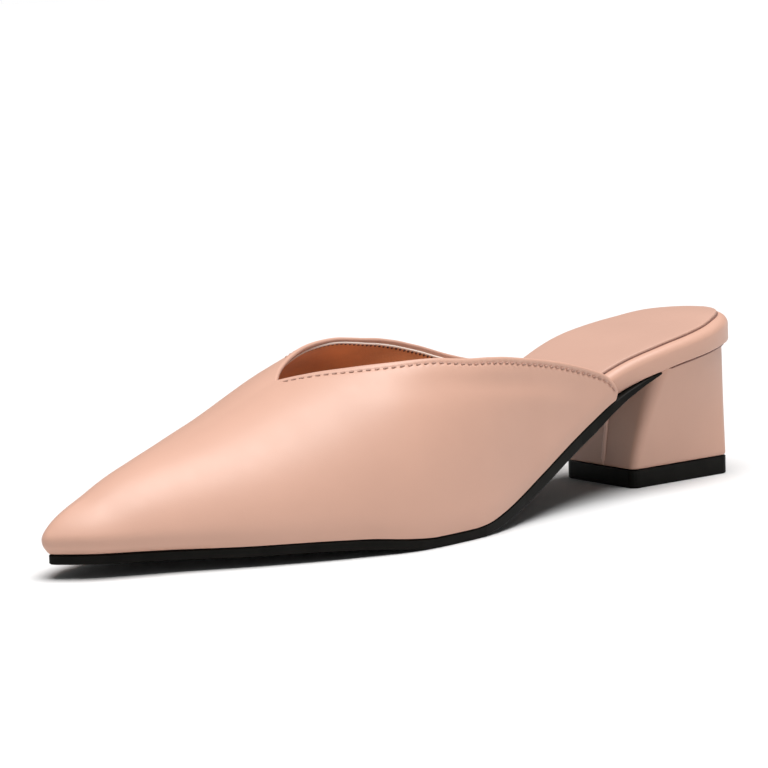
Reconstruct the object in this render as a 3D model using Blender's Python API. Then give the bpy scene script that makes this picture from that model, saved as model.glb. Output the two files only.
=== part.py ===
"""Block heel mule for the left foot: pointed closed toe, V throat, open back, square block heel.

Metres, +Z up, standing on z = 0. The toe points along -Y and the outer side of the foot is +X.
Lengths along the shoe are measured forward from the back of the seat, as shares of SHOE_LENGTH.
"""
import math

import bmesh
import bpy
from mathutils import Matrix, Vector

# Driving sizes
SHOE_LENGTH = 0.266
BALL_WIDTH = 0.0785
SEAT_HEIGHT = 0.0453
TOE_SPRING = 0.0043
OUTSOLE_THICKNESS = 0.0031
INSOLE_THICKNESS = 0.0072
SOCK_THICKNESS = 0.0008
SOCK_INSET = 0.0035
UPPER_WALL = 0.0015
VAMP_HEIGHT = 0.0450
TOP_PIECE_THICKNESS = 0.0060
HEEL_BASE_LENGTH = 0.0435
HEEL_BASE_WIDTH = 0.0346
HEEL_BACK_SETBACK = 0.0085
HEEL_BASE_SHIFT = -0.0005
HEEL_BASE_TURN = math.radians(2.0)
HEEL_TOP_LENGTH = 0.0478
RIM_OVERHANG = 0.0008
HEEL_TUCK = 0.0014
HEEL_CORNER = 0.0028
HEEL_TOP_CORNER = 0.0055
HEEL_BACK_CORNER = 0.0026
HEEL_FLARE = 1.25
TOP_PIECE_ROUND = 0.0004
OUTSOLE_BEVEL = 0.12
TOE_BULGE = 0.0010
TIP_BULGE = 0.0028
BULGE_HEIGHT = 0.0060
STEP_EASE = 1.6
TIP_HALF_WIDTH = 0.0006
GAP = 0.0003

# Where the shoe changes along its length
BREAST = 0.184
UPPER_BACK = 0.267
THROAT = 0.702
SEAT_ROUND = 0.15
TOE_ROUND = 0.040
RIDGE_END = 0.955

# Shares of the way round the heel's side at which its front corner ends and its back corner starts
FRONT_TURN = 0.15
BACK_TURN = 0.75

# Edges sharper than these stay crisp when a piece is shaded
STACK_SMOOTH_ANGLE = math.radians(40)
UPPER_SMOOTH_ANGLE = math.radians(50)

# Counts of stations along the shoe, and of steps across it
OUTSOLE_STATIONS = 44
INSOLE_STATIONS = 56
SOCK_STATIONS = 48
COLLAR_STATIONS = 26
TOE_STATIONS = 20
UPPER_STEPS = 12
CAP_COLUMNS = 4
HEEL_LEVELS = 12

LEATHER_PINK = (0.87, 0.60, 0.49)
SOCK_PINK = (0.85, 0.58, 0.47)
RUBBER_BLACK = (0.012, 0.012, 0.012)

# Half widths each side of the heel's axis, shares of BALL_WIDTH: along, outer, inner
OUTLINE = [
    (0.00, 0.335, 0.325),
    (0.16, 0.340, 0.325),
    (0.30, 0.360, 0.315),
    (0.42, 0.430, 0.320),
    (0.54, 0.530, 0.385),
    (0.62, 0.550, 0.450),
    (0.70, 0.480, 0.490),
    (0.79, 0.350, 0.440),
    (0.88, 0.185, 0.310),
    (0.95, 0.070, 0.200),
    (1.00, -0.035, 0.132),
]

# Rise of the footbed's underside, share of the rise at the seat: along, rise
ARCH = [
    (0.00, 1.000),
    (0.05, 0.986),
    (0.10, 0.955),
    (0.15, 0.914),
    (0.19, 0.863),
    (0.22, 0.813),
    (0.25, 0.748),
    (0.28, 0.667),
    (0.31, 0.569),
    (0.35, 0.443),
    (0.38, 0.349),
    (0.41, 0.257),
    (0.445, 0.155),
    (0.485, 0.065),
    (0.52, 0.012),
    (0.545, 0.000),
    (1.00, 0.000),
]

# Lift of the forepart, share of TOE_SPRING: along, lift
SPRING = [
    (0.00, 0.00),
    (0.60, 0.00),
    (0.64, 0.18),
    (0.69, 0.50),
    (0.75, 0.66),
    (0.82, 0.72),
    (0.92, 0.92),
    (1.00, 1.00),
]

# Thickness of the outsole, share of OUTSOLE_THICKNESS: along, thickness
SOLE_EDGE = [
    (0.184, 0.24),
    (0.22, 0.62),
    (0.25, 0.86),
    (0.30, 1.30),
    (0.42, 1.35),
    (0.48, 1.20),
    (0.52, 1.07),
    (0.545, 1.00),
    (0.61, 1.00),
    (0.75, 0.95),
    (1.00, 0.93),
]

# Thickness of the footbed, share of INSOLE_THICKNESS: along, thickness
PADDING = [
    (0.00, 1.25),
    (0.05, 1.20),
    (0.10, 1.07),
    (0.16, 1.00),
    (0.28, 1.00),
    (0.50, 0.46),
    (1.00, 0.46),
]

# Height of the last's ridge over the feather line, share of VAMP_HEIGHT: along, height
RIDGE = [
    (0.26, 1.25),
    (0.36, 1.38),
    (0.45, 1.45),
    (0.53, 1.40),
    (0.60, 1.28),
    (0.66, 1.11),
    (0.702, 0.98),
    (0.77, 0.78),
    (0.81, 0.685),
    (0.87, 0.555),
    (0.92, 0.440),
    (0.955, 0.335),
    (1.00, 0.235),
]

# Angle up each side at which the topline cuts the last, degrees: along, outer, inner
TOPLINE = [
    (0.267, 1.2, 1.2),
    (0.274, 3.2, 3.2),
    (0.286, 6.3, 5.8),
    (0.308, 10.7, 9.8),
    (0.337, 15.9, 14.2),
    (0.371, 22.0, 20.2),
    (0.425, 31.2, 31.0),
    (0.467, 38.8, 39.8),
    (0.509, 46.0, 48.2),
    (0.547, 52.0, 54.6),
    (0.584, 58.2, 60.8),
    (0.618, 65.0, 67.6),
    (0.650, 73.2, 75.2),
    (0.680, 82.2, 83.4),
    (0.702, 90.0, 90.0),
]


def slopes(rows, column):
    """Slope at each row that keeps a curve through the table free of overshoot."""
    steps = [(b[column] - a[column]) / (b[0] - a[0]) for a, b in zip(rows, rows[1:])]
    inner = [0.0 if a * b <= 0 else 2 * a * b / (a + b) for a, b in zip(steps, steps[1:])]
    return [steps[0]] + inner + [steps[-1]]


def read(rows, column, along):
    """Read one column of a table at a place along the shoe, as a smooth curve."""
    along = min(max(along, rows[0][0]), rows[-1][0])
    i = max(k for k in range(len(rows) - 1) if rows[k][0] <= along)
    (left, right), slope = rows[i:i + 2], slopes(rows, column)
    span = right[0] - left[0]
    t = (along - left[0]) / span
    rise = right[column] - left[column]
    return (left[column] + rise * t * t * (3 - 2 * t)
            + span * t * (1 - t) * (slope[i] * (1 - t) - slope[i + 1] * t))


def round_off(distance, length):
    """Elliptical closing of the outline between a tip and the place where its sides run straight."""
    reach = min(max(distance / length, 0.0), 1.0)
    return math.sqrt(max(0.0, 1 - (1 - reach) ** 2))


def centre(along):
    """Sideways place of the outline's middle."""
    return BALL_WIDTH * (read(OUTLINE, 1, along) - read(OUTLINE, 2, along)) / 2


def grown(along, side, grow):
    """Outline point moved outward by a distance, lengthways too towards both ends."""
    half = BALL_WIDTH * (read(OUTLINE, 1, along) + read(OUTLINE, 2, along)) / 2 + grow
    half = max(half, TIP_HALF_WIDTH)
    half *= round_off(along, SEAT_ROUND) * round_off(1 - along, TOE_ROUND)
    return centre(along) + side * half, along * SHOE_LENGTH + grow * (2 * along - 1)


def footbed_line(forward):
    """Height of the footbed's underside, where the upper also meets the outsole."""
    along = forward / SHOE_LENGTH
    ball = OUTSOLE_THICKNESS + GAP
    return ball + (SEAT_HEIGHT - ball) * read(ARCH, 1, along) + TOE_SPRING * read(SPRING, 1, along)


def slant(forward):
    """Factor that turns a thickness square to the footbed into a height."""
    step = 0.002
    rise = footbed_line(forward + step) - footbed_line(forward - step)
    return math.hypot(1.0, rise / (2 * step))


def blend(low, high, value):
    """Smooth step from 0 to 1 between two values."""
    t = min(max((value - low) / (high - low), 0.0), 1.0)
    return t * t * (3 - 2 * t)


def spread(first, last, count, round_first, round_last):
    """Stations along the shoe, closer together towards a rounded end."""
    lows, highs = (math.pi if round_first else math.pi / 2), (0.0 if round_last else math.pi / 2)
    if not round_first and not round_last:
        return [first + (last - first) * i / count for i in range(count + 1)]
    angles = [lows + (highs - lows) * i / count for i in range(count + 1)]
    cosines = [math.cos(angle) for angle in angles]
    return [first + (last - first) * (c - cosines[0]) / (cosines[-1] - cosines[0]) for c in cosines]


def corner_key(point):
    """Whole micrometres, to recognise the same corner in two patches."""
    return tuple(round(c * 1e6) for c in point)


class Skin:
    """Collects faces by the place of their corners, so neighbouring patches share vertices."""

    def __init__(self):
        self.index = {}
        self.faces = []

    def corner(self, point):
        return self.index.setdefault(corner_key(point), (len(self.index), tuple(point)))[0]

    def face(self, *points):
        ring = []
        for point in points:
            corner = self.corner(point)
            if corner not in ring:
                ring.append(corner)
        if len(ring) > 2:
            self.faces.append(ring)

    def sheet(self, rows):
        """Quads between neighbouring rows of points."""
        for a, b in zip(rows, rows[1:]):
            for i in range(len(a) - 1):
                self.face(a[i], a[i + 1], b[i + 1], b[i])

    def build(self, name, finish, smooth_angle):
        mesh = bpy.data.meshes.new(name)
        mesh.from_pydata([point for _, point in self.index.values()], [], self.faces)
        body = bmesh.new()
        body.from_mesh(mesh)
        bmesh.ops.recalc_face_normals(body, faces=body.faces)
        body.to_mesh(mesh)
        body.free()
        mesh.shade_smooth()
        mesh.set_sharp_from_angle(angle=smooth_angle)
        mesh.materials.append(finish)
        built = bpy.data.objects.new(name, mesh)
        bpy.context.scene.collection.objects.link(built)
        return built


def place(x, forward, height):
    """Model point of a place on the shoe."""
    return x, -forward, height


def across(pair, columns):
    """Evenly spaced points from one side of the shoe to the other."""
    near, far = pair
    return [tuple(a + (b - a) * i / columns for a, b in zip(near, far)) for i in range(columns + 1)]


def stack(name, levels, columns, finish):
    """Solid from levels of station rows: each row is a pair of points across the shoe."""
    skin = Skin()
    grids = [[across(pair, columns) for pair in level] for level in levels]
    skin.sheet(grids[0])
    skin.sheet(grids[-1])
    rims = []
    for grid in grids:
        near_side = [row[0] for row in grid]
        far_side = [row[-1] for row in grid]
        rims.append(near_side + grid[-1][1:] + far_side[::-1][1:] + grid[0][::-1][1:])
    skin.sheet(rims)
    return skin.build(name, finish, STACK_SMOOTH_ANGLE)


def finish_of(name, color, roughness):
    """Plain finish for one piece."""
    made = bpy.data.materials.new(name)
    made.use_nodes = True
    shader = made.node_tree.nodes["Principled BSDF"]
    shader.inputs["Base Color"].default_value = (*color, 1.0)
    shader.inputs["Roughness"].default_value = roughness
    shader.inputs["Metallic"].default_value = 0.0
    return made


def outsole_thickness(along):
    """Outsole thickness, which tapers to a thin edge at the breast."""
    return OUTSOLE_THICKNESS * read(SOLE_EDGE, 1, along)


def insole_grow(along):
    """How far the footbed stands out from the outline: proud at the seat, inside the upper in front."""
    inside = -(UPPER_WALL + 2 * GAP)
    return RIM_OVERHANG + (inside - RIM_OVERHANG) * blend(BREAST - 0.02, UPPER_BACK, along)


def insole_thickness(along):
    """Thick padded seat that thins out inside the upper."""
    return INSOLE_THICKNESS * read(PADDING, 1, along)


def insole_top(forward):
    return footbed_line(forward) + insole_thickness(forward / SHOE_LENGTH) * slant(forward)


def make_outsole():
    """Thin black sole from the heel breast to the toe, flat under the ball."""
    bevel = OUTSOLE_THICKNESS * OUTSOLE_BEVEL
    stations = spread(BREAST, 1.0, OUTSOLE_STATIONS, False, True)

    def level(grow, share):
        rows = []
        for along in stations:
            pair = []
            for side in (1, -1):
                x, forward = grown(along, side, grow)
                top = footbed_line(forward) - GAP
                height = top - (1 - share) * outsole_thickness(along) * slant(forward)
                pair.append(place(x, forward, height))
            rows.append(pair)
        return rows

    levels = [level(-bevel, 0.0), level(0.0, OUTSOLE_BEVEL),
              level(0.0, 1 - OUTSOLE_BEVEL), level(-bevel, 1.0)]
    return stack("outsole", levels, CAP_COLUMNS, finish_of("outsole_rubber", RUBBER_BLACK, 0.45))


def make_insole():
    """Padded footbed wrapped in leather, with a rounded rim around the seat."""
    stations = spread(0.0, 1.0, INSOLE_STATIONS, True, True)

    def level(inset, share):
        rows = []
        for along in stations:
            pair = []
            for side in (1, -1):
                x, forward = grown(along, side, insole_grow(along) - inset * insole_thickness(along))
                bottom = footbed_line(forward)
                pair.append(place(x, forward, bottom + share * (insole_top(forward) - bottom)))
            rows.append(pair)
        return rows

    profile = [(0.08, 0.0), (0.0, 0.08), (0.0, 0.62), (0.05, 0.80), (0.16, 0.94), (0.34, 1.0)]
    levels = [level(inset, share) for inset, share in profile]
    return stack("insole", levels, CAP_COLUMNS, finish_of("footbed_leather", LEATHER_PINK, 0.5))


def sock_inset(along):
    """Margin from the footbed's rim to the sock, narrower inside the upper."""
    return SOCK_INSET * (1 - 0.45 * blend(UPPER_BACK, UPPER_BACK + 0.2, along))


def make_sock():
    """Thin sheet on the footbed, set in from the rim at the seat."""
    stations = spread(0.0, 1.0, SOCK_STATIONS, True, True)

    def level(lift):
        rows = []
        for along in stations:
            pair = []
            for side in (1, -1):
                x, forward = grown(along, side, insole_grow(along) - sock_inset(along))
                pair.append(place(x, forward, insole_top(forward) + GAP + lift))
            rows.append(pair)
        return rows

    return stack("sock", [level(0.0), level(SOCK_THICKNESS)], CAP_COLUMNS,
                 finish_of("sock_leather", SOCK_PINK, 0.55))


def heel_base_side(t, side, grow):
    """Point on the heel's square base: t runs from the breast to the back, round both corners."""
    half, length = HEEL_BASE_WIDTH / 2 + grow, HEEL_BASE_LENGTH / 2 + grow
    if t < FRONT_TURN:
        angle = math.pi / 2 * (1 - t / FRONT_TURN)
        radius = HEEL_CORNER
    else:
        angle = -math.pi / 2 * max(0.0, (t - BACK_TURN) / (1 - BACK_TURN))
        radius = HEEL_BACK_CORNER
    x = side * (half - radius * (1 - math.cos(angle)))
    forward = math.copysign(length - radius * (1 - abs(math.sin(angle))), angle)
    if FRONT_TURN <= t <= BACK_TURN:
        run = (t - FRONT_TURN) / (BACK_TURN - FRONT_TURN)
        forward = (length - HEEL_CORNER) * (1 - run) - (length - HEEL_BACK_CORNER) * run
    turned_x = x * math.cos(HEEL_BASE_TURN) - forward * math.sin(HEEL_BASE_TURN)
    turned_f = x * math.sin(HEEL_BASE_TURN) + forward * math.cos(HEEL_BASE_TURN)
    return HEEL_BASE_SHIFT + turned_x, HEEL_BACK_SETBACK + HEEL_BASE_LENGTH / 2 + turned_f


def heel_top_side(t, side):
    """Point under the seat's outline: t runs from the breast corner to the middle of the back."""
    angle = math.pi / 2 * max(0.0, 1 - t / FRONT_TURN)
    corner = HEEL_TOP_CORNER * (1 - math.cos(angle))
    front = HEEL_TOP_LENGTH - HEEL_TOP_CORNER * (1 - math.sin(angle))
    run = max(0.0, (t - FRONT_TURN) / (1 - FRONT_TURN))
    along = front * (1 + math.cos(math.pi * run)) / 2 / SHOE_LENGTH
    x, forward = grown(along, side, -HEEL_TUCK)
    return x - side * corner, forward


def heel_shares():
    """Steps round one side of the heel: the breast corner, the side and the back corner."""
    corner = [FRONT_TURN * i / 4 for i in range(4)]
    side = [FRONT_TURN + (BACK_TURN - FRONT_TURN) * i / 12 for i in range(12)]
    return corner + side + [BACK_TURN + (1 - BACK_TURN) * i / 8 for i in range(9)]


def make_heel():
    """Leather wrapped block: the seat's outline above and a square base below."""
    bottom = TOP_PIECE_THICKNESS + GAP
    shares = heel_shares()

    def level(rise):
        rows = []
        for t in shares:
            pair = []
            for side in (1, -1):
                low = heel_base_side(t, side, 0.0)
                high = heel_top_side(t, side)
                ease = rise ** HEEL_FLARE
                x, forward = (a + (b - a) * ease for a, b in zip(low, high))
                top = footbed_line(forward) - GAP
                pair.append(place(x, forward, bottom + rise * (top - bottom)))
            rows.append(pair)
        return rows

    levels = [level(i / HEEL_LEVELS) for i in range(HEEL_LEVELS + 1)]
    return stack("heel", levels, CAP_COLUMNS, finish_of("heel_leather", LEATHER_PINK, 0.5))


def make_top_piece():
    """Black rubber lift under the heel."""
    shares = heel_shares()

    def level(grow, height):
        return [[place(*heel_base_side(t, side, grow), height) for side in (1, -1)] for t in shares]

    levels = [level(-TOP_PIECE_ROUND, 0.0), level(0.0, TOP_PIECE_ROUND), level(0.0, TOP_PIECE_THICKNESS)]
    return stack("top_piece", levels, CAP_COLUMNS, finish_of("top_piece_rubber", RUBBER_BLACK, 0.5))


def wall_power(along):
    """How square the last's cross section is: fuller at the waist, rounder at the toe."""
    return 2.6 - 0.5 * blend(0.55, 0.75, along) + 0.3 * blend(0.93, 1.0, along)


def toe_bulge(along):
    """How far the upper stands out beyond the outsole."""
    return TOE_BULGE + (TIP_BULGE - TOE_BULGE) * blend(0.75, 1.0, along)


def last_point(along, side, angle):
    """Point on the last: angle runs from the feather line (0) to the ridge (a quarter turn)."""
    back = max(0.0, (along - THROAT) / (1 - THROAT))
    ridge_along = along - (1 - RIDGE_END) * back * back
    ridge_x, ridge_f = centre(ridge_along), ridge_along * SHOE_LENGTH
    outer_x, outer_f = grown(along, side, toe_bulge(along))
    power = wall_power(along)
    inward = math.cos(angle) ** (2 / power)
    x = ridge_x + (outer_x - ridge_x) * inward
    forward = ridge_f + (outer_f - ridge_f) * inward
    height = VAMP_HEIGHT * read(RIDGE, 1, forward / SHOE_LENGTH) * math.sin(angle) ** (2 / power)
    height *= 1 + 0.03 * (inward if side < 0 else 0.0) * (1 - inward) * 4 * blend(0.95, 0.65, along)
    tuck = (1 - min(1.0, height / BULGE_HEIGHT)) ** 2
    sole_x, sole_f = grown(along, side, 0.0)
    x += (sole_x - outer_x) * tuck
    forward += (sole_f - outer_f) * tuck
    return place(x, forward, footbed_line(forward) + height)


def outward_normals(grids):
    """Unit normal at each corner of the upper's outer surface, added up over both sides."""
    normals = {}
    for side, grid in grids.items():
        for a, b in zip(grid, grid[1:]):
            for j in range(len(a) - 1):
                corners = [Vector(p) for p in (a[j], a[j + 1], b[j + 1], b[j])]
                normal = (corners[2] - corners[0]).cross(corners[3] - corners[1]) * -side
                for point in (a[j], a[j + 1], b[j + 1], b[j]):
                    key = corner_key(point)
                    normals[key] = normals.get(key, Vector()) + normal
    return {key: normal.normalized() for key, normal in normals.items()}


def lining_point(point, normal, at_feather):
    """Point on the inside of the wall; at the feather line the wall stands square on the sole."""
    if at_feather:
        normal = Vector((normal.x, normal.y, 0.0)).normalized()
    return tuple(Vector(point) - normal * UPPER_WALL)


def make_upper():
    """Hollow upper with a real wall, open at the throat, at the back and underneath."""
    stations = spread(UPPER_BACK, THROAT, COLLAR_STATIONS, True, False)
    stations += spread(THROAT, 1.0, TOE_STATIONS, False, True)[1:]
    outer, inner = {}, {}
    for side, column in ((1, 1), (-1, 2)):
        outer[side] = []
        for along in stations:
            top = math.radians(read(TOPLINE, column, along)) if along < THROAT else math.pi / 2
            angles = [top * (j / UPPER_STEPS) ** STEP_EASE for j in range(UPPER_STEPS + 1)]
            outer[side].append([last_point(along, side, angle) for angle in angles])
    normals = outward_normals(outer)
    skin = Skin()
    for side, grid in outer.items():
        inner[side] = [[lining_point(point, normals[corner_key(point)], j == 0)
                        for j, point in enumerate(row)] for row in grid]
        open_rows = sum(along <= THROAT for along in stations)
        skin.sheet(grid)
        skin.sheet(inner[side])
        skin.sheet([grid[0], inner[side][0]])
        skin.sheet([[row[0] for row in grid], [row[0] for row in inner[side]]])
        skin.sheet([[row[-1] for row in grid[:open_rows]], [row[-1] for row in inner[side][:open_rows]]])
    return skin.build("upper", finish_of("upper_leather", LEATHER_PINK, 0.5), UPPER_SMOOTH_ANGLE)


def main():
    for old in list(bpy.data.objects):
        bpy.data.objects.remove(old)
    pieces = [make_outsole(), make_insole(), make_sock(), make_heel(), make_top_piece(), make_upper()]
    corners = [vertex.co for piece in pieces for vertex in piece.data.vertices]
    middle = Vector([(min(c[i] for c in corners) + max(c[i] for c in corners)) / 2 for i in (0, 1)] + [0.0])
    for piece in pieces:
        piece.data.transform(Matrix.Translation(-middle))


main()
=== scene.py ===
"""Looks of the block heel mule: leather skins, lining, stitches, materials, light and camera.

Metres, +Z up. The toe points along -Y and the outer side of this left shoe is +X. Lengths along the
shoe are measured forward from the back of the seat, as shares of SHOE_LENGTH. Side 1 is the outer
side and side -1 the inner one.
"""
import math

import bmesh
import bpy
import numpy as np
from mathutils import Matrix, Vector


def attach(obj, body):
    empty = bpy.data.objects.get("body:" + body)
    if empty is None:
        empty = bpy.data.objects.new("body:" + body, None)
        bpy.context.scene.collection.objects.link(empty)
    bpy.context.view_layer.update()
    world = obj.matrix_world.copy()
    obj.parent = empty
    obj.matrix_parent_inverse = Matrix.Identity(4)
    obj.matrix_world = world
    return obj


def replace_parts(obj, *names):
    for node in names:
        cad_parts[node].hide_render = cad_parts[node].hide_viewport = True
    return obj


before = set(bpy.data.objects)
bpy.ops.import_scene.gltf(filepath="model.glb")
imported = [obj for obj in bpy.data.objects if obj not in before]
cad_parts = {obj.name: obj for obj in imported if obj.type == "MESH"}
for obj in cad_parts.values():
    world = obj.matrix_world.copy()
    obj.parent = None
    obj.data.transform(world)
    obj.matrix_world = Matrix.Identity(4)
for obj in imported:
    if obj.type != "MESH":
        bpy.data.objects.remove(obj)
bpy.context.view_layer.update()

# Driving sizes, the same as in the model's own source
SHOE_LENGTH = 0.266
BALL_WIDTH = 0.0785
SEAT_HEIGHT = 0.0453
TOE_SPRING = 0.0043
OUTSOLE_THICKNESS = 0.0031
INSOLE_THICKNESS = 0.0072
SOCK_INSET = 0.0035
UPPER_WALL = 0.0015
VAMP_HEIGHT = 0.0450
TOP_PIECE_THICKNESS = 0.0060
HEEL_BASE_LENGTH = 0.0435
HEEL_BASE_WIDTH = 0.0346
HEEL_BACK_SETBACK = 0.0085
HEEL_BASE_SHIFT = -0.0005
HEEL_BASE_TURN = math.radians(2.0)
HEEL_TOP_LENGTH = 0.0478
RIM_OVERHANG = 0.0008
HEEL_TUCK = 0.0014
HEEL_CORNER = 0.0028
HEEL_TOP_CORNER = 0.0055
HEEL_BACK_CORNER = 0.0026
HEEL_FLARE = 1.25
TOE_BULGE = 0.0010
TIP_BULGE = 0.0028
BULGE_HEIGHT = 0.0060
TIP_HALF_WIDTH = 0.0006
GAP = 0.0003

# Where the shoe changes along its length
BREAST = 0.184
UPPER_BACK = 0.267
THROAT = 0.702
SEAT_ROUND = 0.15
TOE_ROUND = 0.040
RIDGE_END = 0.955
RIM_FADE = 0.02

# Shares of the way round the heel's side at which its front corner ends and its back corner starts
FRONT_TURN = 0.15
BACK_TURN = 0.75

# How square the last's cross section is: at the waist, less by the ball, more at the tip
WAIST_POWER = 2.6
BALL_FALL = 0.5
TIP_RISE = 0.3
BALL_ZONE = (0.55, 0.75)
TIP_ZONE = (0.93, 1.0)
BULGE_ZONE = (0.75, 1.0)

# The last is a little fuller on its inner side
INNER_FULLNESS = 0.12
INNER_ZONE = (0.95, 0.65)

# Half widths each side of the heel's axis, shares of BALL_WIDTH: along, outer, inner
OUTLINE = [
    (0.00, 0.335, 0.325), (0.16, 0.340, 0.325), (0.30, 0.360, 0.315), (0.42, 0.430, 0.320),
    (0.54, 0.530, 0.385), (0.62, 0.550, 0.450), (0.70, 0.480, 0.490), (0.79, 0.350, 0.440),
    (0.88, 0.185, 0.310), (0.95, 0.070, 0.200), (1.00, -0.035, 0.132),
]
# Rise of the footbed's underside, share of the rise at the seat: along, rise
ARCH = [
    (0.00, 1.000), (0.05, 0.986), (0.10, 0.955), (0.15, 0.914), (0.19, 0.863), (0.22, 0.813),
    (0.25, 0.748), (0.28, 0.667), (0.31, 0.569), (0.35, 0.443), (0.38, 0.349), (0.41, 0.257),
    (0.445, 0.155), (0.485, 0.065), (0.52, 0.012), (0.545, 0.000), (1.00, 0.000),
]
# Lift of the forepart, share of TOE_SPRING: along, lift
SPRING = [
    (0.00, 0.00), (0.60, 0.00), (0.64, 0.18), (0.69, 0.50), (0.75, 0.66), (0.82, 0.72),
    (0.92, 0.92), (1.00, 1.00),
]
# Thickness of the footbed, share of INSOLE_THICKNESS: along, thickness
PADDING = [
    (0.00, 1.25), (0.05, 1.20), (0.10, 1.07), (0.16, 1.00), (0.28, 1.00), (0.50, 0.46), (1.00, 0.46),
]
# Height of the last's ridge over the feather line, share of VAMP_HEIGHT: along, height
RIDGE = [
    (0.26, 1.25), (0.36, 1.38), (0.45, 1.45), (0.53, 1.40), (0.60, 1.28), (0.66, 1.11),
    (0.702, 0.98), (0.77, 0.78), (0.81, 0.685), (0.87, 0.555), (0.92, 0.440), (0.955, 0.335),
    (1.00, 0.235),
]
# Angle up each side at which the topline cuts the last, degrees: along, outer, inner
TOPLINE = [
    (0.267, 1.2, 1.2), (0.274, 3.2, 3.2), (0.286, 6.3, 5.8), (0.308, 10.7, 9.8),
    (0.337, 15.9, 14.2), (0.371, 22.0, 20.2), (0.425, 31.2, 31.0), (0.467, 38.8, 39.8),
    (0.509, 46.0, 48.2), (0.547, 52.0, 54.6), (0.584, 58.2, 60.8), (0.618, 65.0, 67.6),
    (0.650, 73.2, 75.2), (0.680, 82.2, 83.4), (0.702, 90.0, 90.0),
]
OPEN_END = TOPLINE[-1][0]

# Folded edge of the upper, and the height over which the foot of its wall turns level
BEAD = 0.00060
BEAD_SHARE = 0.4
BEAD_FADE = 0.02
FOLD_PROUD = 0.00010
FOLD_STEP = (0.0002, 0.0012)
ROLL_POINTS = 9
FOOT_TURN = 0.002

# Stitches outside: distance under the edge, pitch, length, width and height of one, groove, puckers
STITCH_DROP = 0.0019
THROAT_DROP = 0.0011
THROAT_ZONE = (0.56, 0.67)
APEX_RISE = 0.0004
APEX_ZONE = (0.68, OPEN_END)
STITCH_START = UPPER_BACK + 0.003
STITCH_END = {1: OPEN_END, -1: 0.655}
STITCH_PITCH = 0.0026
STITCH_SIZE = (0.00175, 0.00058, 0.00040)
STITCH_TURN = 0.12
GROOVE_DEPTH = 0.00020
GROOVE_WIDTH = 0.00055
GROOVE_FADE = (0.004, -0.002)
REAR_FADE = 0.01
PUCKER = 0.00010
PUCKER_DROP = 0.0003
PUCKER_WIDTH = 0.0010

# Lining, cream edge line and stitches inside; a shift is how far they start forward of the topline
LINING_SHIFT = 0.0105
LINING_GAP = 0.00003
LINING_THICKNESS = 0.00030
PIPING_SHIFT = 0.93 * LINING_SHIFT
PIPING_DEPTH = UPPER_WALL + 0.0001
PIPING_RADIUS = 0.00042
LINING_STITCH_SHIFT = 1.18 * LINING_SHIFT
LINING_STITCH_PITCH = 0.0019
LINING_STITCH_SIZE = (0.00105, 0.00095, 0.00045)
LINING_STITCH_TURN = 0.5

# Rounded rim of the footbed, shares of its thickness
RIM_LOW_ROUND = 0.08
RIM_HIGH_INSET = 0.36
RIM_HIGH_START = 0.62

# Sock: margin to the rim, slack at the outer rear edge (its middle and width), rounded edge, dark strand of
# painted shade in the gap at its edge
SOCK_MARGIN_FALL = 0.45
SOCK_MARGIN_REACH = 0.2
SOCK_LIFT = 0.00012
SOCK_SLACK = 0.00045
SLACK_PLACE = (0.035, 0.025)
SOCK_EDGE_INSET = 0.0007
SOCK_EDGE_HEIGHT = 0.0004
SOCK_EDGE_ROUND = 0.0006
SOCK_TOP = (0.0040, 0.0012)
SOCK_SHADE_OUT = 0.00015
SOCK_SHADE_LIFT = 0.00022
SOCK_SHADE_RADIUS = 0.00024

# Softened lower and upper edge of the heel's side: rise, how far outward
HEEL_LOW_EDGE = [(0.0, -0.0007), (0.006, -0.0002), (0.02, 0.0)]
HEEL_SIDE_RISE = (0.05, 0.97)
HEEL_HIGH_EDGE = [(0.99, -0.0001), (1.0, -0.0005)]

# Seam of the heel's wrapping down the breast, and a dark strand of painted shade under the footbed's rim
BREAST_SEAM_RISE = (0.004, 0.99)
BREAST_SEAM_SHARE = 0.58
BREAST_SEAM_RADIUS = 0.00080
HEEL_SHADE_START = 0.12
HEEL_SHADE_RISE = 0.99
HEEL_SHADE_OUT = 0.0006
HEEL_SHADE_RADIUS = 0.00040

# Soft troughs and ridges: side, along, distance under the topline, length, width, depth
CREASES = [
    (1, 0.50, 0.0085, 0.110, 0.0030, 0.00056),
    (1, 0.60, 0.0120, 0.050, 0.0035, 0.00029),
    (1, 0.40, 0.0120, 0.060, 0.0040, -0.00029),
    (-1, 0.50, 0.0085, 0.110, 0.0030, 0.00056),
    (-1, 0.62, 0.0140, 0.050, 0.0040, 0.00032),
]

# Distances under the fold, close together where the stitches lie
FINE_ROWS = np.array([0.0, 0.4, 0.8, 1.1, 1.35, 1.6, 1.85, 2.1, 2.35, 2.6, 2.9, 3.3, 3.9, 4.8, 6.0]) / 1000
FINE_REACH = 0.014
COARSE_ROWS = 22

# Counts of stations along the shoe and of steps down or across it; PROFILE_EASE crowds them low down
COLLAR_STATIONS = 300
TOE_STATIONS = 110
PROFILE_POINTS = 241
PROFILE_EASE = 1.3
LINING_COLLAR_STATIONS = 120
LINING_TOE_STATIONS = 60
LINING_ROWS = 26
EDGE_ROWS = 12
FOOTBED_STATIONS = 220
FOOTBED_COLUMNS = 6
SOCK_SHADE_STATIONS = 240
SOCK_COLUMNS = 10
HEEL_COLUMNS = 10
HEEL_CORNER_POINTS = 13
HEEL_SIDE_POINTS = 36
HEEL_BACK_POINTS = 20
HEEL_LEVELS = 30
SEAM_POINTS = 40
HEEL_SHADE_POINTS = 120
TUBE_POINTS = 9
STITCH_RINGS = 7
STITCH_SIDES = 8

# Edges sharper than these stay crisp when a piece is shaded
SHARP_ANGLE = math.radians(60.0)
HEEL_SHARP_ANGLE = math.radians(70.0)

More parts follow.
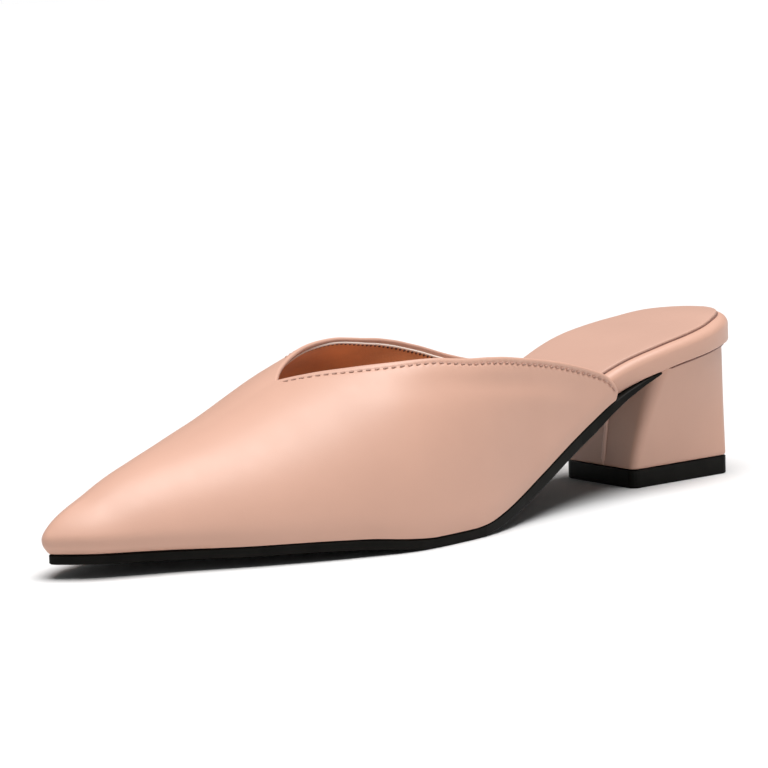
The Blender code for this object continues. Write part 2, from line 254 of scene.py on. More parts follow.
# Small steps: corners this close are joined, thinner faces go, and directions are measured over the rest
JOIN_DISTANCE = 2e-6
SLIVER = 1e-7
PATH_STEP = 0.0003
WALL_STEP = 0.0002
FACING_STEP = 0.001
SLOPE_STEP = 0.002

# Strands narrow over this many points, down to this share, and stitches keep these shares of a pitch free
TAPER_POINTS = 3.0
TAPER_END = 0.02
FIRST_STITCH = 0.7
LAST_STITCH = 0.5

# Colours and roughness
LEATHER_PINK = (0.60, 0.352, 0.265)
SOCK_PINK = (0.53, 0.318, 0.245)
THREAD_BROWN = (0.42, 0.235, 0.18)
LINING_BROWN = (0.72, 0.27, 0.085)
PIPING_CREAM = (0.93, 0.82, 0.74)
# Paler pink of the breast seam: partly a paler leather, partly painted highlight so the ridge reads as lit
# on the shaded breast
SEAM_LIT_PINK = (0.80, 0.52, 0.42)
# Painted shade: colour of the dark strands in the gaps at the sock's edge and under the footbed's rim
SHADE_BROWN = (0.20, 0.085, 0.060)
DARK_THREAD = (0.085, 0.030, 0.012)
RUBBER_BLACK = (0.0045, 0.0042, 0.0034)
LEATHER_ROUGH = 0.46
FOOTBED_ROUGH = 0.44
SOCK_ROUGH = 0.55
TRIM_ROUGH = 0.50
OUTSOLE_ROUGH = 0.42
TOP_PIECE_ROUGH = 0.38

# The photograph's camera: turn from the shoe's side, height angle, roll, distance and focus in pixels
CAMERA_TURN = math.radians(39.0)
CAMERA_HEIGHT = math.radians(7.8)
CAMERA_ROLL = math.radians(2.0)
CAMERA_DISTANCE = 0.900
CAMERA_FOCUS = 2875.0
FRAME_PIXELS = 768.0
SENSOR_WIDTH = 36.0
NEAR_CLIP = 0.01

# What the camera aims at: y from the seat's back, and z
CAMERA_AIM = (-0.1443, 0.04425)

# Studio: soft light from above, weak surroundings with a white horizon, and a white paper floor.
# HORIZON_FADE holds the two heights of view between which the light falls, then its two strengths.
SKY_LIGHT = 4.6
SKY_SOFTNESS = math.radians(45.0)
SKY_FROM = (0.17, -0.02, 1.0)
WORLD_LIGHT = 0.14
HORIZON_FADE = (0.03, 0.08, 1.0, WORLD_LIGHT)
FLOOR_WHITE = (0.71, 0.71, 0.71)
FLOOR_REACH = 200.0


class Curve:
    """Smooth curve through one column of a table, free of overshoot."""

    def __init__(self, rows, column):
        data = np.array(rows, float)
        self.x, self.y = data[:, 0], data[:, column]
        step = np.diff(self.y) / np.diff(self.x)
        same_way = step[:-1] * step[1:] > 0
        total = np.where(same_way, step[:-1] + step[1:], 1.0)
        inner = np.where(same_way, 2 * step[:-1] * step[1:] / total, 0.0)
        self.slope = np.concatenate(([step[0]], inner, [step[-1]]))

    def __call__(self, along):
        along = np.clip(along, self.x[0], self.x[-1])
        i = np.clip(np.searchsorted(self.x, along, side="right") - 1, 0, len(self.x) - 2)
        span = self.x[i + 1] - self.x[i]
        t = (along - self.x[i]) / span
        rise = self.y[i + 1] - self.y[i]
        bend = self.slope[i] * (1 - t) - self.slope[i + 1] * t
        return self.y[i] + rise * t * t * (3 - 2 * t) + span * t * (1 - t) * bend


outer_half = Curve(OUTLINE, 1)
inner_half = Curve(OUTLINE, 2)
arch = Curve(ARCH, 1)
spring = Curve(SPRING, 1)
padding = Curve(PADDING, 1)
ridge = Curve(RIDGE, 1)
topline = {1: Curve(TOPLINE, 1), -1: Curve(TOPLINE, 2)}


def blend(low, high, value):
    """Smooth step from 0 to 1 between two values."""
    t = np.clip((value - low) / (high - low), 0.0, 1.0)
    return t * t * (3 - 2 * t)


def bump(value, middle, width):
    """Bell curve of height 1."""
    return np.exp(-((value - middle) / width) ** 2)


def unit(vectors):
    """Vectors scaled to length 1."""
    return vectors / np.maximum(np.linalg.norm(vectors, axis=-1, keepdims=True), 1e-12)


def run_length(points):
    """Distance covered along each row of points, from its first point."""
    steps = np.linalg.norm(np.diff(points, axis=-2), axis=-1)
    return np.concatenate([np.zeros_like(steps[..., :1]), np.cumsum(steps, axis=-1)], axis=-1)


def at_runs(wanted, run, points):
    """Points at the wanted distances along a path."""
    return np.stack([np.interp(wanted, run, points[:, i]) for i in range(3)], axis=1)


def eased(first, last, count, slow_start, slow_end):
    """Values from first to last, closer together towards each slow end."""
    angles = np.linspace(math.pi if slow_start else math.pi / 2, 0.0 if slow_end else math.pi / 2, count + 1)
    cosines = np.cos(angles)
    return first + (last - first) * (cosines - cosines[0]) / (cosines[-1] - cosines[0])


def quarter_turn(count):
    """Sines and the shares left by the cosines, at even steps over a quarter turn."""
    angles = np.linspace(0, math.pi / 2, count)
    return zip(np.sin(angles), 1 - np.cos(angles))


# The last and the outline, as in the model's own source

def round_off(distance, length):
    """Elliptical closing of the outline between a tip and the place where its sides run straight."""
    reach = np.clip(distance / length, 0.0, 1.0)
    return np.sqrt(np.maximum(0.0, 1 - (1 - reach) ** 2))


def centre(along):
    """Sideways place of the outline's middle."""
    return BALL_WIDTH * (outer_half(along) - inner_half(along)) / 2


def grown(along, side, grow):
    """Outline point moved outward by a distance, lengthways too towards both ends."""
    half = BALL_WIDTH * (outer_half(along) + inner_half(along)) / 2 + grow
    half = np.maximum(half, TIP_HALF_WIDTH) * round_off(along, SEAT_ROUND) * round_off(1 - along, TOE_ROUND)
    return centre(along) + side * half, along * SHOE_LENGTH + grow * (2 * along - 1)


def footbed_line(forward):
    """Height of the footbed's underside, where the upper also meets the outsole."""
    along = forward / SHOE_LENGTH
    ball = OUTSOLE_THICKNESS + GAP
    return ball + (SEAT_HEIGHT - ball) * arch(along) + TOE_SPRING * spring(along)


def slant(forward):
    """Factor that turns a thickness square to the footbed into a height."""
    rise = footbed_line(forward + SLOPE_STEP) - footbed_line(forward - SLOPE_STEP)
    return np.hypot(1.0, rise / (2 * SLOPE_STEP))


def insole_grow(along):
    """How far the footbed stands out from the outline: proud at the seat, inside the upper in front."""
    inside = -(UPPER_WALL + 2 * GAP)
    return RIM_OVERHANG + (inside - RIM_OVERHANG) * blend(BREAST - RIM_FADE, UPPER_BACK, along)


def insole_top(forward):
    """Height of the footbed's upper side."""
    return footbed_line(forward) + INSOLE_THICKNESS * padding(forward / SHOE_LENGTH) * slant(forward)


# Where the source's own origin lies in the frame, found from the middle of the seat's back
seat_back = max((v.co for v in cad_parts["insole"].data.vertices), key=lambda corner: corner.y)
ORIGIN = (seat_back.x - float(centre(0.0)), seat_back.y - RIM_OVERHANG)


def place(x, forward, height):
    """Points in the frame."""
    x, forward, height = np.broadcast_arrays(x, forward, height)
    return np.stack([x + ORIGIN[0], ORIGIN[1] - forward, height], axis=-1)


def wall_power(along):
    """How square the last's cross section is: fuller at the waist, rounder at the toe."""
    return WAIST_POWER - BALL_FALL * blend(*BALL_ZONE, along) + TIP_RISE * blend(*TIP_ZONE, along)


def toe_bulge(along):
    """How far the upper stands out beyond the outsole."""
    return TOE_BULGE + (TIP_BULGE - TOE_BULGE) * blend(*BULGE_ZONE, along)


def last_point(along, side, angle):
    """Points on the last: angle runs from the feather line (0) to the ridge (a quarter turn)."""
    back = np.maximum(0.0, (along - THROAT) / (1 - THROAT))
    ridge_along = along - (1 - RIDGE_END) * back * back
    ridge_x, ridge_f = centre(ridge_along), ridge_along * SHOE_LENGTH
    outer_x, outer_f = grown(along, side, toe_bulge(along))
    power = wall_power(along)
    inward = np.maximum(np.cos(angle), 0.0) ** (2 / power)
    x = ridge_x + (outer_x - ridge_x) * inward
    forward = ridge_f + (outer_f - ridge_f) * inward
    height = VAMP_HEIGHT * ridge(forward / SHOE_LENGTH) * np.maximum(np.sin(angle), 0.0) ** (2 / power)
    if side < 0:
        height = height * (1 + INNER_FULLNESS * inward * (1 - inward) * blend(*INNER_ZONE, along))
    tuck = (1 - np.minimum(1.0, height / BULGE_HEIGHT)) ** 2
    sole_x, sole_f = grown(along, side, 0.0)
    x = x + (sole_x - outer_x) * tuck
    forward = forward + (sole_f - outer_f) * tuck
    return place(x, forward, footbed_line(forward) + height)


# Meshes

def piece(name, mesh, finish):
    """Object that rides on the shoe and takes its finish from a slot."""
    mesh.materials.append(finish)
    made = bpy.data.objects.new(name, mesh)
    bpy.context.scene.collection.objects.link(made)
    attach(made, "root")
    return made


def smooth_mesh(name, points, faces, join):
    """Smooth mesh with its faces turned outward; join makes corners that coincide one."""
    mesh = bpy.data.meshes.new(name)
    mesh.from_pydata(points, [], faces)
    body = bmesh.new()
    body.from_mesh(mesh)
    if join:
        bmesh.ops.remove_doubles(body, verts=body.verts, dist=JOIN_DISTANCE)
        bmesh.ops.dissolve_degenerate(body, dist=SLIVER, edges=body.edges)
    bmesh.ops.recalc_face_normals(body, faces=body.faces)
    body.to_mesh(mesh)
    body.free()
    mesh.shade_smooth()
    return mesh


def grid_faces(index):
    """Four-cornered faces between the rows and columns of a grid of corner numbers."""
    corners = [index[:-1, :-1], index[:-1, 1:], index[1:, 1:], index[1:, :-1]]
    return np.stack(corners, axis=-1).reshape(-1, 4)


def solid(name, sheets, finish, sharp_angle=SHARP_ANGLE):
    """One closed piece from grids of points whose edges coincide."""
    points, faces, start = [], [], 0
    for grid in sheets:
        rows, columns = grid.shape[:2]
        points.append(grid.reshape(-1, 3))
        faces.append(grid_faces(start + np.arange(rows * columns).reshape(rows, columns)))
        start += rows * columns
    mesh = smooth_mesh(name, np.concatenate(points).tolist(), np.concatenate(faces).tolist(), True)
    mesh.set_sharp_from_angle(angle=sharp_angle)
    return piece(name, mesh, finish)


def stack(levels, columns):
    """Sheets of a solid from its levels, each a near and a far row of points: two caps and the rim."""
    share = np.linspace(0, 1, columns + 1)[None, :, None]

    def across(level):
        near, far = level
        return near[:, None, :] * (1 - share) + far[:, None, :] * share

    rims = []
    for level in levels:
        near, far = level
        grid = across(level)
        rims.append(np.concatenate([near, grid[-1, 1:], far[::-1][1:], grid[0, ::-1][1:]]))
    return [across(levels[0]), across(levels[-1]), np.stack(rims)]


def side_rows(along, grow, height):
    """Near and far row of points round the footbed, at a height worked out from the place forward."""
    rows = []
    for side in (1, -1):
        x, forward = grown(along, side, grow)
        rows.append(place(x, forward, height(forward)))
    return rows


def tube(name, path, radius, finish, level=(0.0, 0.0, 1.0)):
    """Round strand with tapered ends; level is any direction that the strand never follows."""
    run = unit(np.gradient(path, axis=0))
    up = unit(np.cross(run, np.cross(level, run)))
    across = np.cross(run, up)
    from_end = np.minimum(np.arange(len(path)), np.arange(len(path))[::-1])
    size = radius * np.minimum(1.0, from_end / TAPER_POINTS + TAPER_END)[:, None]
    turns = np.linspace(0, 2 * math.pi, TUBE_POINTS)
    ring = [path + (up * math.cos(t) + across * math.sin(t)) * size for t in turns]
    ring[-1] = ring[0]
    grid = np.stack(ring, axis=1)
    ends = [np.stack([grid[i], np.repeat(path[i][None], TUBE_POINTS, axis=0)]) for i in (0, -1)]
    return solid(name, [grid] + ends, finish)


def stitches(name, path, facing, pitch, size, turn, finish):
    """Row of small rounded stitches laid along a path; size is length, width and height."""
    run = run_length(path)
    wanted = np.arange(pitch * FIRST_STITCH, run[-1] - pitch * LAST_STITCH, pitch)
    middle = at_runs(wanted, run, path)
    ahead = unit(at_runs(wanted + PATH_STEP, run, path) - middle)
    across = unit(np.cross(unit(at_runs(wanted, run, facing)), ahead))
    up = np.cross(ahead, across)
    length_way = (ahead * math.cos(turn) + across * math.sin(turn)) * size[0] / 2
    width_way = (across * math.cos(turn) - ahead * math.sin(turn)) * size[1] / 2
    height_way = up * size[2] / 2
    reach = np.cos(np.linspace(math.pi, 0, STITCH_RINGS))[1:-1]
    girth = (1 - np.abs(reach) ** 3) ** 0.5
    angles = np.linspace(0, 2 * math.pi, STITCH_SIDES, endpoint=False)
    points, faces = [], []
    for k in range(len(wanted)):
        start = len(points)
        for a, w in zip(reach, girth):
            for t in angles:
                round_way = width_way[k] * math.cos(t) + height_way[k] * math.sin(t)
                points.append(tuple(middle[k] + length_way[k] * a + round_way * w))
        index = start + np.arange(len(reach) * STITCH_SIDES).reshape(len(reach), STITCH_SIDES)
        faces += [tuple(face) for face in grid_faces(np.column_stack([index, index[:, 0]])).tolist()]
        faces += [tuple(index[0, ::-1].tolist()), tuple(index[-1].tolist())]
    return piece(name, smooth_mesh(name, points, faces, False), finish)


# Upper

def under_topline(along, side, distances):
    """Angles at given distances down from the topline or the ridge, and the length of each row."""
    top = np.radians(np.where(along < OPEN_END, topline[side](along), 90.0))
    angles = top[:, None] * np.linspace(1.0, 0.0, PROFILE_POINTS)[None, :] ** PROFILE_EASE
    length = run_length(last_point(along[:, None], side, angles))
    found = [np.interp(*row) for row in zip(distances(length[:, -1]), length, angles)]
    return np.stack(found), length[:, -1]


def wall_rows(bead):
    """Function that gives the distances of the wall's rows for each station's length."""
    def distances(length):
        fine = FINE_ROWS[None, :] * np.minimum(1.0, length / FINE_REACH)[:, None]
        fine = fine + np.minimum(bead, BEAD_SHARE * length)[:, None]
        rest = np.linspace(0, 1, COARSE_ROWS + 1)[None, 1:]
        return np.concatenate([fine, fine[:, -1:] + (length[:, None] - fine[:, -1:]) * rest], axis=1)
    return distances


def wall_normals(grids, open_rows):
    """Outward normals of the wall on both sides, made equal where the sides meet."""
    normals = {}
    for side, grid in grids.items():
        normals[side] = unit(np.cross(np.gradient(grid, axis=0), np.gradient(grid, axis=1)) * side)
    for rows in (np.s_[open_rows - 1:, 0], np.s_[-1, :]):
        both = unit(normals[1][rows] + normals[-1][rows])
        normals[1][rows] = both
        normals[-1][rows] = both
    return normals


def inward_ways(grid, normal):
    """Directions into the wall, level near the outsole so that the wall's foot stays flat."""
    height = grid[..., 2] - footbed_line(ORIGIN[1] - grid[..., 1])
    upright = np.exp(-height / FOOT_TURN)[..., None] * np.array([0.0, 0.0, 1.0])
    return unit(normal * (1 - upright))


def crease_depth(side, along, distance):
    """Depth of the soft creases at each point of the wall."""
    depth = 0.0
    for crease_side, at, under, length, width, deep in CREASES:
        if crease_side == side:
            depth = depth + deep * bump(along, at, length) * bump(distance, under, width)
    return depth


def stitch_drop(along):
    """Distance of the stitches under the edge; it grows towards the throat and shrinks at the V."""
    return STITCH_DROP + THROAT_DROP * blend(*THROAT_ZONE, along) - APEX_RISE * blend(*APEX_ZONE, along)


def wall_relief(side, along, grid, under):
    """How far the leather stands proud: the fold, the stitches' groove and puckers, the creases."""
    line = stitch_drop(along)[:, None]
    stitched = blend(STITCH_END[side] + GROOVE_FADE[0], STITCH_END[side] + GROOVE_FADE[1], along)
    stitched = (stitched * blend(0.0, REAR_FADE, along - UPPER_BACK))[:, None]
    wave = np.cos(2 * math.pi * run_length(grid[:, 0]) / STITCH_PITCH)[:, None]
    fold = FOLD_PROUD * blend(line - FOLD_STEP[0], line - FOLD_STEP[1], under)
    groove = GROOVE_DEPTH * bump(under, line, GROOVE_WIDTH)
    puckers = PUCKER * wave * bump(under, line + PUCKER_DROP, PUCKER_WIDTH)
    return (fold - groove + puckers) * stitched - crease_depth(side, along[:, None], under)


def edge_roll(outside, inside, normal, open_rows):
    """Rounded folded edge along the topline and down the upper's rear corner."""
    turns = np.linspace(0, math.pi, ROLL_POINTS)
    top_out, top_in = outside[:open_rows, 0], inside[:open_rows, 0]
    away = unit(np.cross(np.gradient(top_out, axis=0), normal[:open_rows, 0]))
    away *= np.sign(np.sum(away * (top_out - outside[:open_rows, 3]), axis=-1, keepdims=True))
    away[-1] = unit(outside[open_rows - 1, 0] - outside[open_rows, 0])
    rear_out, rear_in = outside[0], inside[0]
    share = np.linspace(0, 1, len(rear_out))[:, None]
    rear_away = unit(away[0] * (1 - share) + unit(outside[0] - outside[2]) * share)

    def arc(low, high, way):
        middle, half = (low + high) / 2, (low - high) / 2
        size = np.linalg.norm(half, axis=-1, keepdims=True)
        return np.stack([middle + half * math.cos(t) + way * size * math.sin(t) for t in turns], axis=1)

    top = arc(top_out, top_in, away)
    rear = arc(rear_out, rear_in, rear_away)
    flat = rear_out[-1] + (rear_in[-1] - rear_out[-1]) * np.linspace(0, 1, ROLL_POINTS)[:, None]
    return [top, rear, np.stack([rear[-1], flat])]


def make_upper(finish):
    """Leather upper: folded edge, groove and puckers along the stitches, soft creases, real wall."""
    collar = eased(UPPER_BACK, OPEN_END, COLLAR_STATIONS, True, False)
    along = np.concatenate([collar, eased(OPEN_END, 1.0, TOE_STATIONS, False, True)[1:]])
    row_distances = wall_rows(BEAD * blend(OPEN_END, OPEN_END - BEAD_FADE, along))
    grids, under = {}, {}
    for side in (1, -1):
        angles, length = under_topline(along, side, row_distances)
        grids[side] = last_point(along[:, None], side, angles)
        under[side] = row_distances(length)
    normals = wall_normals(grids, len(collar))
    sheets = []
    for side, grid in grids.items():
        normal = normals[side]
        outside = grid + normal * wall_relief(side, along, grid, under[side])[..., None]
        inside = grid - inward_ways(grid, normal) * UPPER_WALL
        sheets += [outside, inside, np.stack([outside[:, -1], inside[:, -1]])]
        sheets += edge_roll(outside, inside, normal, len(collar))
    return solid("upper_leather", sheets, finish)


def outer_stitch_line(side):
    """Points and normals of one side's stitch line on the outside."""
    along = eased(STITCH_START, STITCH_END[side], COLLAR_STATIONS, True, False)
    rows = stitch_drop(along)[:, None] + np.array([0.0, WALL_STEP])[None, :]
    angles, _ = under_topline(along, side, lambda length: rows)
    grid = last_point(along[:, None], side, angles)
    normal = unit(np.cross(np.gradient(grid[:, 0], axis=0), grid[:, 1] - grid[:, 0]) * side)
    return grid[:, 0], normal


def make_outer_stitches(finish):
    """One row of stitches on each side; the inner side's row ends short of the V."""
    for side, name in ((1, "outer_stitches"), (-1, "inner_stitches")):
        path, facing = outer_stitch_line(side)
        stitches(name, path, facing, STITCH_PITCH, STITCH_SIZE, STITCH_TURN, finish)


# Inside of the upper

def inner_shell(shift, depth, rows):
    """Grids at a depth inside the wall, whose top edge follows the topline a little below it."""
    collar = eased(UPPER_BACK + shift, OPEN_END + shift, LINING_COLLAR_STATIONS, True, False)
    toe = eased(OPEN_END + shift, 1.0, LINING_TOE_STATIONS, False, True)[1:]
    along = np.concatenate([collar, toe])
    grids = {}
    for side in (1, -1):
        top = np.radians(np.where(along < OPEN_END + shift, topline[side](along - shift), 90.0))
        angles = top[:, None] * np.linspace(1, 0.0, rows)[None, :]
        grids[side] = last_point(along[:, None], side, angles)
    normals = wall_normals(grids, len(collar))
    shells = {side: grid - inward_ways(grid, normals[side]) * depth for side, grid in grids.items()}
    return shells, len(collar)


def inner_edge(shift, depth):
    """Points that follow the topline inside the wall, from one rear corner round to the other."""
    shells, open_rows = inner_shell(shift, depth, EDGE_ROWS)
    return np.concatenate([shells[1][2:open_rows, 0], shells[-1][2:open_rows - 1, 0][::-1]])


def make_lining(finish):
    """Brown lining inside the wall, a closed thin sheet."""
    outer, open_rows = inner_shell(LINING_SHIFT, UPPER_WALL + LINING_GAP, LINING_ROWS)
    inner, _ = inner_shell(LINING_SHIFT, UPPER_WALL + LINING_THICKNESS, LINING_ROWS)
    sheets = []
    for side in (1, -1):
        a, b = outer[side], inner[side]
        edges = [(a[:, -1], b[:, -1]), (a[0], b[0]), (a[:open_rows, 0], b[:open_rows, 0])]
        sheets += [a, b] + [np.stack(edge) for edge in edges]
    return solid("lining", sheets, finish)


def make_piping(finish):
    """Cream edge line between the upper's fold and the lining."""
    return tube("edge_piping", inner_edge(PIPING_SHIFT, PIPING_DEPTH), PIPING_RADIUS, finish)


def make_lining_stitches(finish):
    """Dark slanted stitches that hold the lining."""
    depth = UPPER_WALL + LINING_THICKNESS
    path = inner_edge(LINING_STITCH_SHIFT, depth)
    facing = unit(inner_edge(LINING_STITCH_SHIFT, depth + FACING_STEP) - path)
    return stitches("lining_stitches", path, facing, LINING_STITCH_PITCH, LINING_STITCH_SIZE,
                    LINING_STITCH_TURN, finish)


# Footbed and sock

def make_footbed(finish):
    """Padded footbed with a rounded rim."""
    along = eased(0.0, 1.0, FOOTBED_STATIONS, True, True)
    thickness = INSOLE_THICKNESS * padding(along)

    def level(inset, share):
        def height(forward):
            bottom = footbed_line(forward)
            return bottom + share * (insole_top(forward) - bottom)
        return side_rows(along, insole_grow(along) - inset * thickness, height)

    levels = [level(RIM_LOW_ROUND * (1 - sine), RIM_LOW_ROUND * rest) for sine, rest in quarter_turn(5)]
    levels += [level(RIM_HIGH_INSET * rest, RIM_HIGH_START + (1 - RIM_HIGH_START) * sine)
               for sine, rest in quarter_turn(10)]
    return solid("footbed", stack(levels, FOOTBED_COLUMNS), finish)


def sock_margin(along):
    """Distance of the sock's edge from the footbed's, less inside the upper."""
    inside = blend(UPPER_BACK, UPPER_BACK + SOCK_MARGIN_REACH, along)
    return SOCK_INSET * (1 - SOCK_MARGIN_FALL * inside)


def make_sock(finish):
    """Sock sheet with a rounded edge, a little slack at the seat's outer rear edge."""
    along = eased(0.0, 1.0, FOOTBED_STATIONS, True, True)
    slack = SOCK_SLACK * bump(along, *SLACK_PLACE)

    def level(inset, lift):
        near, far = side_rows(along, insole_grow(along) - sock_margin(along) - inset,
                              lambda forward: insole_top(forward) + SOCK_LIFT + lift)
        if lift > 0:
            near[:, 2] += slack
        return near, far

    levels = [level(0.0, 0.0)]
    for sine, rest in quarter_turn(6):
        levels.append(level(SOCK_EDGE_INSET * rest, SOCK_EDGE_HEIGHT + SOCK_EDGE_ROUND * sine))
    levels.append(level(*SOCK_TOP))
    return solid("sock_sheet", stack(levels, SOCK_COLUMNS), finish)


def make_sock_gap_shade(finish):
    """Dark strand in the gap at the sock's edge, painted shade seen as a thin line inside the rim."""
    along = eased(0.0, 1.0, SOCK_SHADE_STATIONS, True, True)[:-1]
    near, far = side_rows(along, insole_grow(along) - sock_margin(along) + SOCK_SHADE_OUT,
                          lambda forward: insole_top(forward) + SOCK_SHADE_LIFT)
    return tube("sock_gap_shade", np.concatenate([far[::-1], near[1:]]), SOCK_SHADE_RADIUS, finish)


# Heel

def heel_base_side(t, side, grow):
    """Points on the heel's square base: t runs from the breast to the back, round both corners."""
    half, length = HEEL_BASE_WIDTH / 2 + grow, HEEL_BASE_LENGTH / 2 + grow
    front = np.clip(1 - t / FRONT_TURN, 0.0, 1.0) * math.pi / 2
    back = np.clip((t - BACK_TURN) / (1 - BACK_TURN), 0.0, 1.0) * math.pi / 2
    run = np.clip((t - FRONT_TURN) / (BACK_TURN - FRONT_TURN), 0.0, 1.0)
    x = side * (half - HEEL_CORNER * (1 - np.cos(front)) - HEEL_BACK_CORNER * (1 - np.cos(back)))
    forward = (length - HEEL_CORNER) * (1 - run) - (length - HEEL_BACK_CORNER) * run
    forward = forward + HEEL_CORNER * np.sin(front) - HEEL_BACK_CORNER * np.sin(back)
    turned_x = x * math.cos(HEEL_BASE_TURN) - forward * math.sin(HEEL_BASE_TURN)
    turned_f = x * math.sin(HEEL_BASE_TURN) + forward * math.cos(HEEL_BASE_TURN)
    return HEEL_BASE_SHIFT + turned_x, HEEL_BACK_SETBACK + HEEL_BASE_LENGTH / 2 + turned_f


def heel_top_side(t, side, grow):
    """Points under the seat's outline: t runs from the breast corner to the middle of the back."""
    front = np.clip(1 - t / FRONT_TURN, 0.0, 1.0) * math.pi / 2
    corner = HEEL_TOP_CORNER * (1 - np.cos(front))
    reach = HEEL_TOP_LENGTH - HEEL_TOP_CORNER * (1 - np.sin(front))
    run = np.maximum(0.0, (t - FRONT_TURN) / (1 - FRONT_TURN))
    along = reach * (1 + np.cos(math.pi * run)) / 2 / SHOE_LENGTH
    x, forward = grown(along, side, grow - HEEL_TUCK)
    return x - side * corner, forward


def heel_point(t, side, rise, grow):
    """Points on the heel's side: rise is 0 at the base and 1 under the seat."""
    low_x, low_f = heel_base_side(t, side, grow)
    high_x, high_f = heel_top_side(t, side, grow)
    ease = rise ** HEEL_FLARE
    x = low_x + (high_x - low_x) * ease
    forward = low_f + (high_f - low_f) * ease
    bottom, top = TOP_PIECE_THICKNESS + GAP, footbed_line(forward) - GAP
    return place(x, forward, bottom + rise * (top - bottom))


def make_heel(finish):
    """Leather wrapped block heel with soft corners."""
    corner = np.linspace(0, FRONT_TURN, HEEL_CORNER_POINTS)
    side_run = np.linspace(FRONT_TURN, BACK_TURN, HEEL_SIDE_POINTS)[1:]
    back = np.linspace(BACK_TURN, 1, HEEL_BACK_POINTS)[1:]
    t = np.concatenate([corner, side_run, back])
    middle = [(rise, 0.0) for rise in np.linspace(*HEEL_SIDE_RISE, HEEL_LEVELS)]
    levels = [[heel_point(t, side, rise, grow) for side in (1, -1)]
              for rise, grow in HEEL_LOW_EDGE + middle + HEEL_HIGH_EDGE]
    return solid("heel_block", stack(levels, HEEL_COLUMNS), finish, HEEL_SHARP_ANGLE)


def make_breast_seam(finish):
    """Ridge where the leather's ends meet down the middle of the heel's breast."""
    rise = np.linspace(*BREAST_SEAM_RISE, SEAM_POINTS)
    near, far = [heel_point(np.zeros(len(rise)), side, rise, 0.0) for side in (1, -1)]
    path = near * BREAST_SEAM_SHARE + far * (1 - BREAST_SEAM_SHARE)
    return tube("breast_seam", path, BREAST_SEAM_RADIUS, finish, (1.0, 0.0, 0.0))


def make_heel_rim_shade(finish):
    """Dark line under the footbed's rim, painted shade where the rim overhangs the heel's wrapping."""
    t = np.linspace(HEEL_SHADE_START, 1.0, HEEL_SHADE_POINTS)
    near, far = [heel_point(t, side, HEEL_SHADE_RISE, HEEL_SHADE_OUT) for side in (1, -1)]
    path = np.concatenate([near, far[:-1][::-1]])
    return tube("heel_rim_shade", path, HEEL_SHADE_RADIUS, finish)


# Materials

class Finish:
    """Principled material with short helpers for its procedural nodes."""

    def __init__(self, name, **sockets):
        self.material = bpy.data.materials.new(name)
        self.material.use_nodes = True
        self.tree = self.material.node_tree
        self.shader = self.tree.nodes["Principled BSDF"]
        self.place_node = self.tree.nodes.new("ShaderNodeTexCoord")
        for socket, value in sockets.items():
            self.shader.inputs[socket.replace("_", " ")].default_value = value

    def noise(self, scale, detail=3.0, stretch=(1.0, 1.0, 1.0)):
        """Soft noise fixed to the piece."""
        node = self.tree.nodes.new("ShaderNodeTexNoise")
        node.inputs["Scale"].default_value = scale
        node.inputs["Detail"].default_value = detail
        mapping = self.tree.nodes.new("ShaderNodeMapping")
        mapping.inputs["Scale"].default_value = stretch
        self.tree.links.new(self.place_node.outputs["Object"], mapping.inputs["Vector"])
        self.tree.links.new(mapping.outputs["Vector"], node.inputs["Vector"])
        return node.outputs["Fac"]

    def cells(self, scale):
        """Grain of small cells."""
        node = self.tree.nodes.new("ShaderNodeTexVoronoi")
        node.inputs["Scale"].default_value = scale
        self.tree.links.new(self.place_node.outputs["Object"], node.inputs["Vector"])
        return node.outputs["Distance"]

    def color(self, value, *stops):
        """Base colour from a value: each stop is a place and a colour."""
        node = self.tree.nodes.new("ShaderNodeValToRGB")
        elements = node.color_ramp.elements
        while len(elements) < len(stops):
            elements.new(0.5)
        for element, (at, color) in zip(elements, stops):
            element.position = at
            element.color = (*color, 1.0)
        self.tree.links.new(value, node.inputs["Fac"])
        self.tree.links.new(node.outputs["Color"], self.shader.inputs["Base Color"])

    def rough(self, value, low, high):
        """Roughness from a value, between two limits."""
        node = self.tree.nodes.new("ShaderNodeMapRange")
        node.inputs["To Min"].default_value = low
        node.inputs["To Max"].default_value = high
        self.tree.links.new(value, node.inputs["Value"])
        self.tree.links.new(node.outputs["Result"], self.shader.inputs["Roughness"])

    def relief(self, *layers):
        """Bumps one over the other: height, strength, distance."""
        normal = None
        for height, strength, distance in layers:
            node = self.tree.nodes.new("ShaderNodeBump")
            node.inputs["Strength"].default_value = strength
            node.inputs["Distance"].default_value = distance
            self.tree.links.new(height, node.inputs["Height"])
            if normal:
                self.tree.links.new(normal, node.inputs["Normal"])
            normal = node.outputs["Normal"]
        self.tree.links.new(normal, self.shader.inputs["Normal"])


def shade(color, factor):
    """Colour made darker or lighter."""
    return tuple(c * factor for c in color)


def leather(name, color, roughness):
    """Smooth satin leather: faint cloudy colour, fine pores and a tight grain."""
    made = Finish(name, Coat_Weight=0.03, Coat_Roughness=0.35, Specular_IOR_Level=0.38)
    made.color(made.noise(38.0, 4.0), (0.25, shade(color, 0.965)), (0.55, color), (0.80, shade(color, 1.03)))
    made.rough(made.noise(240.0), roughness - 0.05, roughness + 0.06)
    made.relief((made.noise(60.0, 2.0), 0.12, 0.0006), (made.cells(2600.0), 0.10, 0.00008),
                (made.noise(5200.0, 2.0), 0.10, 0.00005))
    return made.material


def suede(name, color):
    """Napped lining: uneven brown with a short brushed pile."""
    made = Finish(name, Sheen_Weight=0.25, Sheen_Roughness=0.6)
    clouds = made.noise(90.0, 5.0, (1.0, 0.35, 1.0))
    made.color(clouds, (0.25, shade(color, 0.62)), (0.52, color), (0.80, shade(color, 1.35)))
    made.rough(made.noise(900.0), 0.80, 0.95)
    made.relief((made.noise(2400.0, 4.0, (1.0, 0.4, 1.0)), 0.45, 0.0002))
    return made.material


